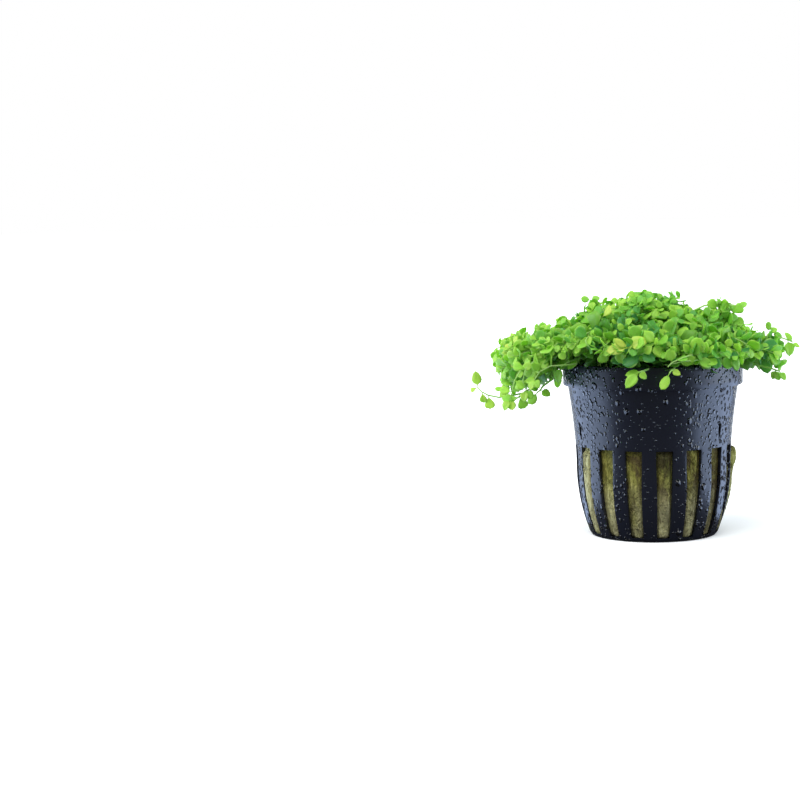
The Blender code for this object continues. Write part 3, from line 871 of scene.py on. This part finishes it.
def leafFinish():
    # growth holds how yellow (red), how pale and stem-like (green) and how dark (blue) a part is; the dark
    # is painted shade for parts deep in the mound, partly the darker green of older leaves
    look = leafLook
    finish = Finish(bpy.data.materials.new("carpetLeaf"))
    growth = {"Color": finish.node("Attribute", {"attribute_name": "growth"}, output="Color")}
    parts = [finish.node("SeparateColor", {}, growth, output=name) for name in ("Red", "Green", "Blue")]
    yellow, pale, deep = parts
    spot = finish.node("UVMap", {"uv_map": "blade"})
    side = abs(finish.axis(spot, "X") - 0.5)
    mottle = finish.pattern(*look.mottlePattern)
    colour = finish.ramp(yellow + look.mottleTone * mottle - look.mottleTone / 2, look.tones)
    vein = finish.between(side, *look.veinWidth) * finish.between(finish.axis(spot, "Y"), *look.veinEnd)
    bands = {"wave_type": "BANDS", "bands_direction": "Y"}
    rib = finish.node("TexWave", bands, {"Vector": spot, **look.ribPattern})
    # pale margin, partly a painted highlight along the leaf's edge
    marginHighlight = finish.between(side, *look.marginFrom)
    masks = {"vein": vein, "rib": rib, "marginHighlight": marginHighlight, "pale": pale, "deep": deep}
    colour = finish.layers(colour, look, masks)
    height = sum(part * share for part, share in zip((vein, rib, mottle), look.heights))
    relief = finish.bump(height, look.relief, look.reliefStrength)
    least, more = look.roughness
    skin = finish.surface(colour, least + more * mottle, relief, IOR=look.refraction)
    glow = finish.node("BsdfTranslucent", {}, {"Color": look.glow})
    return finish.close(finish.node("MixShader", {}, {0: look.glowShare, 1: skin, 2: glow}))


leafSkin = leafFinish()
print("leaf shapes ready")


mound = metres(dict(
    rootHeight=46.5, rim=50.7, crown=71,
    # how far the mound reaches out, how low it hangs and how high its edge stands
    reach={"left": 45.5, "right": 38, "front": 32.2, "back": 35},
    hang={"left": 41, "right": 50, "front": 57.5, "back": 51},
    edge={"left": 53, "right": 53.5, "front": 58, "back": 54},
    inset=1.5,  # leaves stand out this far past the stem tips
    raggedness=0.8, centreRadius=7.5, middleRadius=15.3, mouthRadius=22.5,
    barrenDepth=3,  # under the rim, where no leaf grows inside the collar
    core=40,  # the height that the mound's surface faces away from
    spacing=3.25, lump=1.8, lumpSpacing=10,
    # single humps and hollows of the crown: (x, y, rise, width)
    humps=[
        (20.7, -5, 5.5, 3.8), (15.5, -3, -3.2, 4), (27.5, -3, -2, 4.5), (34, -3, 1.3, 4),
        (-5, -3, 1, 5), (-16.8, -2, 4, 3.8), (-15, 2, -4, 8), (-24, 3, -2.6, 8),
        (-34, -1, -1.3, 8), (7, 4, -2.6, 7), (13, 6, -3, 6), (10, -22, -2.6, 3.6),
    ],
    stemRadius=0.24,
    leafLength=(3.3, 5),  # with its stalk
    pairGaps=(1.5, 2.6, 3.2),
))
mound.update(
    hangShare=0.4,  # the hanging side goes on to a share of 1.4
    hangInward=0.03,  # share of the reach that it draws in
    hangPower=4,
    tilt=0.021,  # the mound stands higher on its left by this slope
    rise=[(0, 1), (0.3, 0.93), (0.5, 0.7), (0.7, 0.47), (0.82, 0.4), (0.93, 0.3), (1, 0.15)],
    lumpStart=Vector((0.3, 0.7, 1.9)),
    slopeSteps=(0.05, 0.04),  # round the mound and down it, to find which way it faces
    middleTufts=5, outerTufts=10,
    tries=14000,  # to find room for one more stem
    leafShape=(0.7, 0.92),  # width as a share of length
    tipSizes=(0.62, 0.9, 1, 1.2, 1.3, 1.3),  # of the leaf pairs from the tip down
)

stemPlan = Plan(
    ragged=(-1.6 * mm, 1.6 * mm),  # the most that a tip stands in or out
    innerRoots=(0.8, 1),  # how far out a stem of the middle roots, as a share of its tip's radius
    outerRoots=16 * mm, rootDrift=0.08, sway=Vector((0.22, 0.22, 0.11)),
    # weights of the mound's outward direction, of the direction away from the axis and of upwards
    climbing=(0.75, 0.35, 0.25), hanging=(0.4, 0.5, -0.35), climb=0.75, climbOver=5.5 * mm,
    lean=0.15, archOverRim=5 * mm, archOverTip=6 * mm, archOut=3 * mm, bend=0.33, steps=12,
    taper=0.45, growth=(0.5, 0.8, 0.1, 1),
)
leafPlan = Plan(
    missing=0.04,
    lift=(14, 54),  # degrees that a leaf rises from its stem's side
    # weights of the stem's direction, of the mound's outward direction and of the light in a leaf's facing
    facing=(0.45, 0.75, 0.45), outwardLean=0.5, wander=0.55, lengthSpread=(0.86, 1.12),
    turnSpread=0.25, gapSpread=(0.85, 1.2), sizeByShare=(0.96, 0.07),
    sheltered=2,  # leaf pairs in full sight on a stem, less one
)
tonePlan = Plan(
    base=0.49, byShare=0.12, patch=0.24, patchSize=3, patchStart=Vector((5, 1, 2)),
    spread=0.2, byOrder=0.04, newest=0.1, most=0.8, trailing=0.16, trailingSlope=2,
    trailingFrom=1.1, trailingPale=0.1, trailingFresh=0.55, yellowed=0.012, yellowTone=0.95,
    # painted shade by leaf pair from the tip down, partly older leaves' darker green
    deep=(0, 0, 0.1, 0.34, 0.54, 0.66),
)


sprig = Plan(
    bladeLift=radians(35),
    heart=Vector((0, 0, 52 * mm)),  # the point that stems come from
    rootedDepth=5 * mm,  # how far a stem goes on inside its tuft
    stemRadius=0.32 * mm, taper=0.4, growth=(0.5, 0.85, 0, 1), toneSpread=(-0.06, 0.1),
)

# sprigs that stand out on the mound, in millimetres and degrees: the tuft that each belongs to, the azimuth
# that its blades turn to, its tone, its stem's points and its leaves, each with the stem point that it grows
# from, the azimuth and elevation of its growth, its length and its width
accents = [
    ("tuft_outer_01", -5, 0.97, [(-5.6, -30.5, 56.2), (-6.6, -32.2, 56.8)],
        [(1, -90, -6, 6.2, 3.7), (1, 88, 28, 5.8, 4.2), (1, -88, 32, 4.6, 2.2)]),
    ("tuft_outer_01", -8, 0.12, [(-1.8, -31, 55.4), (-3.2, -32, 54.9)],
        [(1, -88, -32, 5.6, 4), (1, 80, -20, 4.4, 3.4)]),
    ("tuft_outer_01", 5, 0.76,
        [(11, -30.6, 54.6), (8.4, -32.2, 53.9), (5.3, -32.6, 52.6), (4.2, -32.8, 51.4)],
        [(0, 70, 60, 5.2, 4.4), (2, -40, 76, 4, 3.4)]),
    ("tuft_outer_02", 10, 0.6, [(12.4, -29.6, 53), (8.6, -31.8, 52.9), (5.2, -32.4, 52.2)],
        [(0, 85, -20, 4, 3)]),
    ("tuft_outer_02", 35, 0.58, [(20.6, -20.6, 55), (22.2, -22, 53.6)],
        [(1, -50, -48, 4.6, 3.4), (1, 60, -68, 4.6, 3.2)]),
    ("tuft_outer_10", -30, 0.66, [(-21, -20, 53), (-23.6, -21.4, 52.2), (-25.6, -21.8, 50.8)],
        [(0, -60, -40, 4.2, 3), (2, -80, -72, 4.8, 3.2), (1, 10, 40, 3.6, 3)]),
    ("tuft_outer_10", -35, 0.78,
        [(-24.6, -25, 51.6), (-28.4, -25.4, 51.4), (-31.4, -24.6, 49.8), (-33, -23.4, 47.4)],
        [(3, -80, -60, 3.2, 2.6), (3, 30, -40, 3, 2.4), (2, -60, 50, 3.4, 2.8)]),
    ("tuft_outer_09", -30, 0.8,
        [(-37, -19.6, 50), (-38.8, -20, 47), (-39.6, -19.4, 43.8), (-40.4, -18.4, 41.2)],
        [(3, -70, -50, 3.4, 2.8), (3, 40, -60, 3.2, 2.6), (2, -80, 10, 3.6, 3), (1, 60, -30, 3.6, 3)]),
    ("tuft_outer_09", -25, 0.74,
        [(-33, -21.6, 52.6), (-35.6, -22.4, 50.4), (-36.4, -21.8, 47), (-35.6, -20.6, 44.2)],
        [(3, -60, -70, 3.4, 2.8), (3, 70, -50, 3, 2.6), (2, 80, 0, 3.4, 2.8), (1, -70, 20, 3.6, 3)]),
    ("tuft_outer_03", 5, 0.68, [(17.6, -4, 60.8), (18.4, -4.6, 63.4), (18.8, -5, 65.2)],
        [
            (1, -80, 20, 4.2, 3.4), (1, 95, 10, 4.4, 3.6), (2, -60, 45, 4, 3.4), (2, 70, 40, 4, 3.2),
            (1, 0, -35, 3.8, 3.2),
        ]),
    ("tuft_outer_03", 12, 0.6, [(20.8, -4.6, 60), (22, -5.2, 62.4), (22.6, -5.6, 64.2)],
        [
            (1, -85, 15, 4.2, 3.4), (1, 90, -10, 4.2, 3.4), (2, -60, 40, 4, 3.2),
            (2, 80, 35, 4, 3.4), (1, 10, -40, 4, 3.4),
        ]),
    ("tuft_outer_03", 10, 0.74, [(33, -4, 57.6), (33.3, -4.2, 58.8)],
        [(1, -60, 84, 3, 1.8), (1, 100, 20, 2.6, 2)]),
    ("tuft_outer_03", 0, 0.4, [(24, -4, 58.8), (24.6, -4.4, 60.2)],
        [(1, -80, 50, 2.4, 1.6), (1, 100, 56, 2.6, 1.8)]),
]


def sidesAt(name, azimuth):
    # what the mound has to the side and to the front or back of an azimuth
    sides = mound[name]
    side = sides["right"] if sin(azimuth) > 0 else sides["left"]
    return side, sides["front"] if cos(azimuth) > 0 else sides["back"]


def roundAt(name, azimuth):
    side, end = sidesAt(name, azimuth)
    return side * sin(azimuth) ** 2 + end * cos(azimuth) ** 2


def hangAt(azimuth):
    side, end = sidesAt("hang", azimuth)
    return end + (side - end) * abs(sin(azimuth)) ** mound.hangPower


def lumpAt(azimuth, share):
    spot = direction(azimuth) * (share * roundAt("reach", azimuth))
    rise = mound.lump * noise.noise(spot / mound.lumpSpacing + mound.lumpStart)
    for x, y, height, width in mound.humps:
        away = (spot - Vector((x, y, 0))).length / width
        rise += height * exp(-(away**2))
    return rise


def moundPoint(azimuth, share):
    # share 0 to 1 runs over the crown to the edge, and on from there down the hanging side
    reach = roundAt("reach", azimuth)
    edge = roundAt("edge", azimuth)
    if share <= 1:
        height = mound.rim + (mound.crown - mound.rim) * linear(mound.rise, share)
        height = max(height + lumpAt(azimuth, share), edge)
        place = direction(azimuth) * reach * share
    else:
        down = (share - 1) / mound.hangShare
        height = edge + (hangAt(azimuth) - edge) * down
        place = direction(azimuth) * reach * (1 - mound.hangInward * down)
    return place + up * (height - mound.tilt * place.x)


def outwardAt(azimuth, share):
    # outward normal of the mound from two short steps over it
    aside, down = mound.slopeSteps
    along = moundPoint(azimuth + aside, share) - moundPoint(azimuth - aside, share)
    inner = moundPoint(azimuth, max(share - down, 0))
    outer = moundPoint(azimuth, min(share + down, 1 + mound.hangShare))
    normal = (outer - inner).cross(along)
    if normal.length < 1e-9:
        return up.copy()
    normal.normalize()
    if normal.dot(moundPoint(azimuth, share) - up * mound.core) < 0:
        normal.negate()
    return normal


def scatterTips(chance):
    # stem tips spread over the mound, none closer than the spacing
    tips = []
    for attempt in range(mound.tries):
        azimuth = chance.uniform(-pi, pi)
        share = (1 + mound.hangShare) * sqrt(chance.random())
        point = moundPoint(azimuth, share)
        if all((other - point).length >= mound.spacing for angle, part, other in tips):
            tips.append((azimuth, share, point))
    return tips


def tuftOf(azimuth, radius):
    if radius < mound.centreRadius:
        return "tuft_centre"
    ring = "middle" if radius < mound.middleRadius else "outer"
    sector = tau / mound[ring + "Tufts"]
    return f"tuft_{ring}_{int((azimuth + sector / 2.0) % tau / sector) + 1:02d}"


def randomVector(chance):
    return Vector((chance.gauss(0, 1), chance.gauss(0, 1), chance.gauss(0, 1)))


def bezier(points, share):
    rest = 1 - share
    weights = (rest**3, 3 * rest**2 * share, 3 * rest * share**2, share**3)
    return sum((point * weight for point, weight in zip(points, weights)), Vector())


def growStem(chance, azimuth, share, tip):
    # from its root in the plug to its tip on the mound
    plan = stemPlan
    normal = outwardAt(azimuth, share)
    least, most = plan.ragged
    tip = tip + normal * (min(max(chance.gauss(0, mound.raggedness), least), most) - mound.inset)
    radius = tip.xy.length
    if radius < mound.middleRadius:
        rootRadius = radius * chance.uniform(*plan.innerRoots)
    else:
        rootRadius = chance.uniform(plan.outerRoots, mound.mouthRadius)
    rootAzimuth = azimuth + chance.gauss(0, plan.rootDrift)
    root = direction(rootAzimuth) * rootRadius + up * mound.rootHeight
    sway = randomVector(chance) * plan.sway
    away = direction(azimuth)
    if share > 1:
        weights = plan.hanging
        arch = max(mound.rim + plan.archOverRim, tip.z + plan.archOverTip)
        over = Vector((root.x, root.y, arch)) + away * plan.archOut
    else:
        weights = plan.climbing
        climb = max(tip.z - root.z, 0) * plan.climb + plan.climbOver
        over = root + up * climb + away * (radius - rootRadius) * plan.lean
    heading = (normal * weights[0] + away * weights[1] + up * weights[2] + sway).normalized()
    points = [root, over, tip - heading * (tip - root).length * plan.bend, tip]
    return [bezier(points, step) for step in evenly(0, 1, plan.steps)]


def walk(path, distance):
    # the point at a distance back from the path's end, and the direction there
    for newer, older in zip(reversed(path), reversed(path[:-1])):
        step = newer - older
        if distance <= step.length:
            return newer - step.normalized() * distance, step.normalized()
        distance -= step.length
    return None, None


def leafPair(bm, chance, foot, along, turn, length, outward, growth, sheltered):
    side = Matrix.Rotation(turn, 3, along) @ along.orthogonal().normalized()
    weights = leafPlan.facing
    for sense in (1, -1):
        if chance.random() < leafPlan.missing:
            continue
        lift = radians(chance.uniform(*leafPlan.lift))
        grow = side * sense * cos(lift) + along * sin(lift)
        face = along * weights[0] + outward * weights[1] + towardsLight * weights[2]
        face += randomVector(chance) * leafPlan.wander
        long = length * chance.uniform(*leafPlan.lengthSpread)
        wide = long * chance.uniform(*mound.leafShape)
        matrix = leafMatrix(foot, grow, face, long, wide)
        addLeaf(bm, chance.randrange(len(bladeMeshes[0])), matrix, growth, sheltered)


def leafGrowth(chance, order, azimuth, share):
    # (yellow, pale, dark) for a leaf, by its place on the stem and on the mound; the dark is painted shade
    # for pairs lower on the stem, partly older leaves' darker green, and less of it on the trailing side
    plan = tonePlan
    patch = noise.noise(direction(azimuth) * share * plan.patchSize + plan.patchStart)
    trailing = smoothstep(share * sin(-azimuth) * plan.trailingSlope - plan.trailingFrom)
    tone = plan.base + plan.byShare * share + plan.patch * patch + plan.trailing * trailing
    tone += chance.gauss(0, plan.spread) - plan.byOrder * order
    if order == 0:
        tone += plan.newest
    tone = min(max(tone, 0), plan.most)
    if chance.random() < plan.yellowed:
        tone = plan.yellowTone
    # leaves lower on the stem get painted shade, less of it on the trailing side
    deep = plan.deep[order] * (1 - plan.trailingFresh * trailing)
    return (tone, plan.trailingPale * trailing, deep, 1)


def aim(azimuth, elevation):
    return direction(azimuth) * cos(elevation) + up * sin(elevation)


def addSprig(bm, plan, rooted, thickness, chance):
    # a stem of its own with leaves set one by one; rooted is the point that the stem comes from
    faces, tone, points, leaves = plan
    stem = [Vector(point) * mm for point in points]
    path = [(point, 1 - sprig.taper * index / len(stem)) for index, point in enumerate([rooted] + stem)]
    addGrowing(bm, tubes([path], thickness, 1), sprig.growth)
    face = aim(radians(faces), sprig.bladeLift)
    for order, (index, azimuth, elevation, length, width) in enumerate(leaves):
        grow = aim(radians(azimuth), radians(elevation))
        matrix = leafMatrix(stem[index], grow, face, length * mm, width * mm)
        leafTone = min(tone + chance.uniform(*sprig.toneSpread), 1)
        addLeaf(bm, order + len(leaves), matrix, (leafTone, 0, 0, 1))


def addStem(bm, chance, azimuth, share, tip):
    # a stem's leaf pairs from its tip down; its path and widths are given back
    path = growStem(chance, azimuth, share, tip)
    outward = (outwardAt(azimuth, share) + direction(azimuth) * leafPlan.outwardLean).normalized()
    turn = chance.uniform(0, pi)
    back = 0
    atCrown, more = leafPlan.sizeByShare
    mature = chance.uniform(*mound.leafLength) * (atCrown + more * share)
    for order, tipSize in enumerate(mound.tipSizes):
        foot, along = walk(path, back)
        if foot is None:
            break
        if foot.z < mound.rim - mound.barrenDepth and foot.xy.length < pot.collarRadius:
            break
        growth = leafGrowth(chance, order, azimuth, share)
        sheltered = order > leafPlan.sheltered
        leafPair(bm, chance, foot, along, turn, mature * tipSize, outward, growth, sheltered)
        turn += pi / 2 + chance.gauss(0, leafPlan.turnSpread)
        back += mound.pairGaps[min(order, 2)] * chance.uniform(*leafPlan.gapSpread)
    return list(zip(path, evenly(1, 1 - stemPlan.taper, stemPlan.steps)))


def buildTufts(chance):
    tufts = {}
    stems = {}
    for name, *plan in accents:
        bm = tufts.setdefault(name, emptyFoliage())
        first = Vector(plan[2][0]) * mm
        deeper = (sprig.heart - first).normalized() * sprig.rootedDepth
        addSprig(bm, plan, first + deeper, mound.stemRadius, chance)
    for azimuth, share, tip in scatterTips(chance):
        name = tuftOf(azimuth, tip.xy.length)
        bm = tufts.setdefault(name, emptyFoliage())
        stems.setdefault(name, []).append(addStem(bm, chance, azimuth, share, tip))
    for name, bm in sorted(tufts.items()):
        addGrowing(bm, tubes(stems[name], mound.stemRadius, 1), stemPlan.growth)
        print(name, len(bm.faces), "faces,", len(stems[name]), "stems")
        newPiece(name + "_foliage", bm, leafSkin, name)


buildTufts(random.Random(7))
print("tufts ready")


# the shoots that stand clear of the mound, written like the sprigs above
shoots = {
    "shoot_left_trailing": (-10, 0.85,
        [
            (-39.8, -5.5, 41.4), (-44.4, -6.2, 40.8), (-47.4, -6.8, 41.5), (-49.2, -7.2, 42.5),
            (-50.5, -7.2, 43.9),
        ],
        [
            (4, -90, 84, 4.8, 3), (4, -90, -25, 2.4, 1.5), (3, 60, -80, 3.2, 2.2),
            (2, 60, -82, 4, 3.2), (1, 70, 40, 2.8, 2.2),
        ]),
    "shoot_left_hanging": (-20, 0.7, [(-36.4, -10.6, 42.9), (-38.2, -11.6, 41.5), (-39.6, -12.2, 40.5)],
        [(2, -80, 15, 3.6, 3), (2, -60, -65, 3, 2.6), (1, 60, -60, 3.8, 3.2), (1, -85, -20, 3.4, 2.6)]),
    "shoot_left_inner": (-20, 0.72, [(-31.2, -14.5, 44.7), (-31.8, -15.4, 43.7), (-32.8, -16, 43)],
        [(2, -80, -55, 4, 3), (1, 70, -25, 3.4, 2.4)]),
    "shoot_upper_left": (-20, 0.62, [(-17, -3, 67.2), (-17.4, -3.4, 67.9), (-17.6, -3.6, 68.6)],
        [(2, -90, 10, 2.8, 2.2), (2, 90, 15, 2.8, 2.2)]),
    "shoot_upper_right": (10, 0.62,
        [(15, -4, 66.6), (18.5, -4.6, 67), (21.8, -5, 66.8), (24.4, -5.2, 66.2)],
        [
            (1, 20, 30, 3.4, 2.8), (1, 60, -40, 3.4, 2.8), (2, 0, 25, 3.6, 2.8), (2, 120, -30, 3.2, 2.6),
            (3, 80, 20, 2.8, 2),
        ]),
    "shoot_right_sprig": (15, 0.72,
        [(35, -3, 57.2), (36.8, -3.2, 57), (38.6, -3.4, 56.4), (40, -3.6, 55.7)],
        [(3, -88, 55, 3.6, 1.8), (2, 60, -78, 4.8, 3.2), (3, 85, -38, 2.4, 1.4)]),
    "shoot_right_hanging": (20, 0.66, [(33.3, -7.9, 48.7), (34.8, -8.4, 48.2), (36, -8.8, 47.8)],
        [(2, 80, -55, 3, 2.2), (1, -40, -65, 2.8, 2.2), (1, 60, -70, 3.2, 2.6)]),
    "shoot_front_left": (0, 0.78, [(-2.2, -29.8, 50.2), (-3, -31.4, 50.2), (-3.8, -32.4, 50)],
        [(2, -80, -48, 5.6, 3.2), (2, 85, -35, 2.8, 2.2), (1, -90, -15, 4.6, 2.6)]),
    "shoot_front_middle": (0, 0.84, [(5.8, -29.6, 50.4), (5.2, -31.4, 50.4), (4.6, -32.4, 49.6)],
        [(2, -70, -62, 5, 2.6), (1, 80, -25, 2.8, 2)]),
    "shoot_back_left": (-140, 0.7,
        [(-25.7, 24.2, 44.9), (-28.4, 26.4, 43.6), (-31, 28, 43.4), (-32.8, 29, 44.6)],
        [(1, -160, -60, 3.8, 2.8), (2, -60, 20, 3.4, 2.6), (3, -130, 40, 3.2, 2.4)]),
    "shoot_back_middle": (180, 0.74, [(2.4, 32.3, 47.4), (3.2, 35, 44.8), (4.2, 36, 43.2)],
        [(1, -100, -20, 3.8, 3), (2, 130, -60, 3.4, 2.6), (1, 100, 30, 3, 2.2)]),
    "shoot_back_right": (140, 0.66, [(23, 23.8, 58), (25.6, 26.6, 58.8), (28.2, 29.6, 58.8)],
        [(1, -170, 30, 3.4, 2.6), (1, 60, 0, 3.2, 2.6), (2, 140, 0, 3.2, 2.2)]),
}


def buildShoot(name, plan, chance):
    bm = emptyFoliage()
    first, second = (Vector(point) * mm for point in plan[2][:2])
    inward = (sprig.heart - first).normalized() + (first - second).normalized()
    rooted = first + inward.normalized() * sprig.rootedDepth
    addSprig(bm, plan, rooted, sprig.stemRadius, chance)
    newPiece(name + "_foliage", bm, leafSkin, name)


for name, plan in shoots.items():
    buildShoot(name, plan, random.Random(len(name)))
print("free shoots ready")
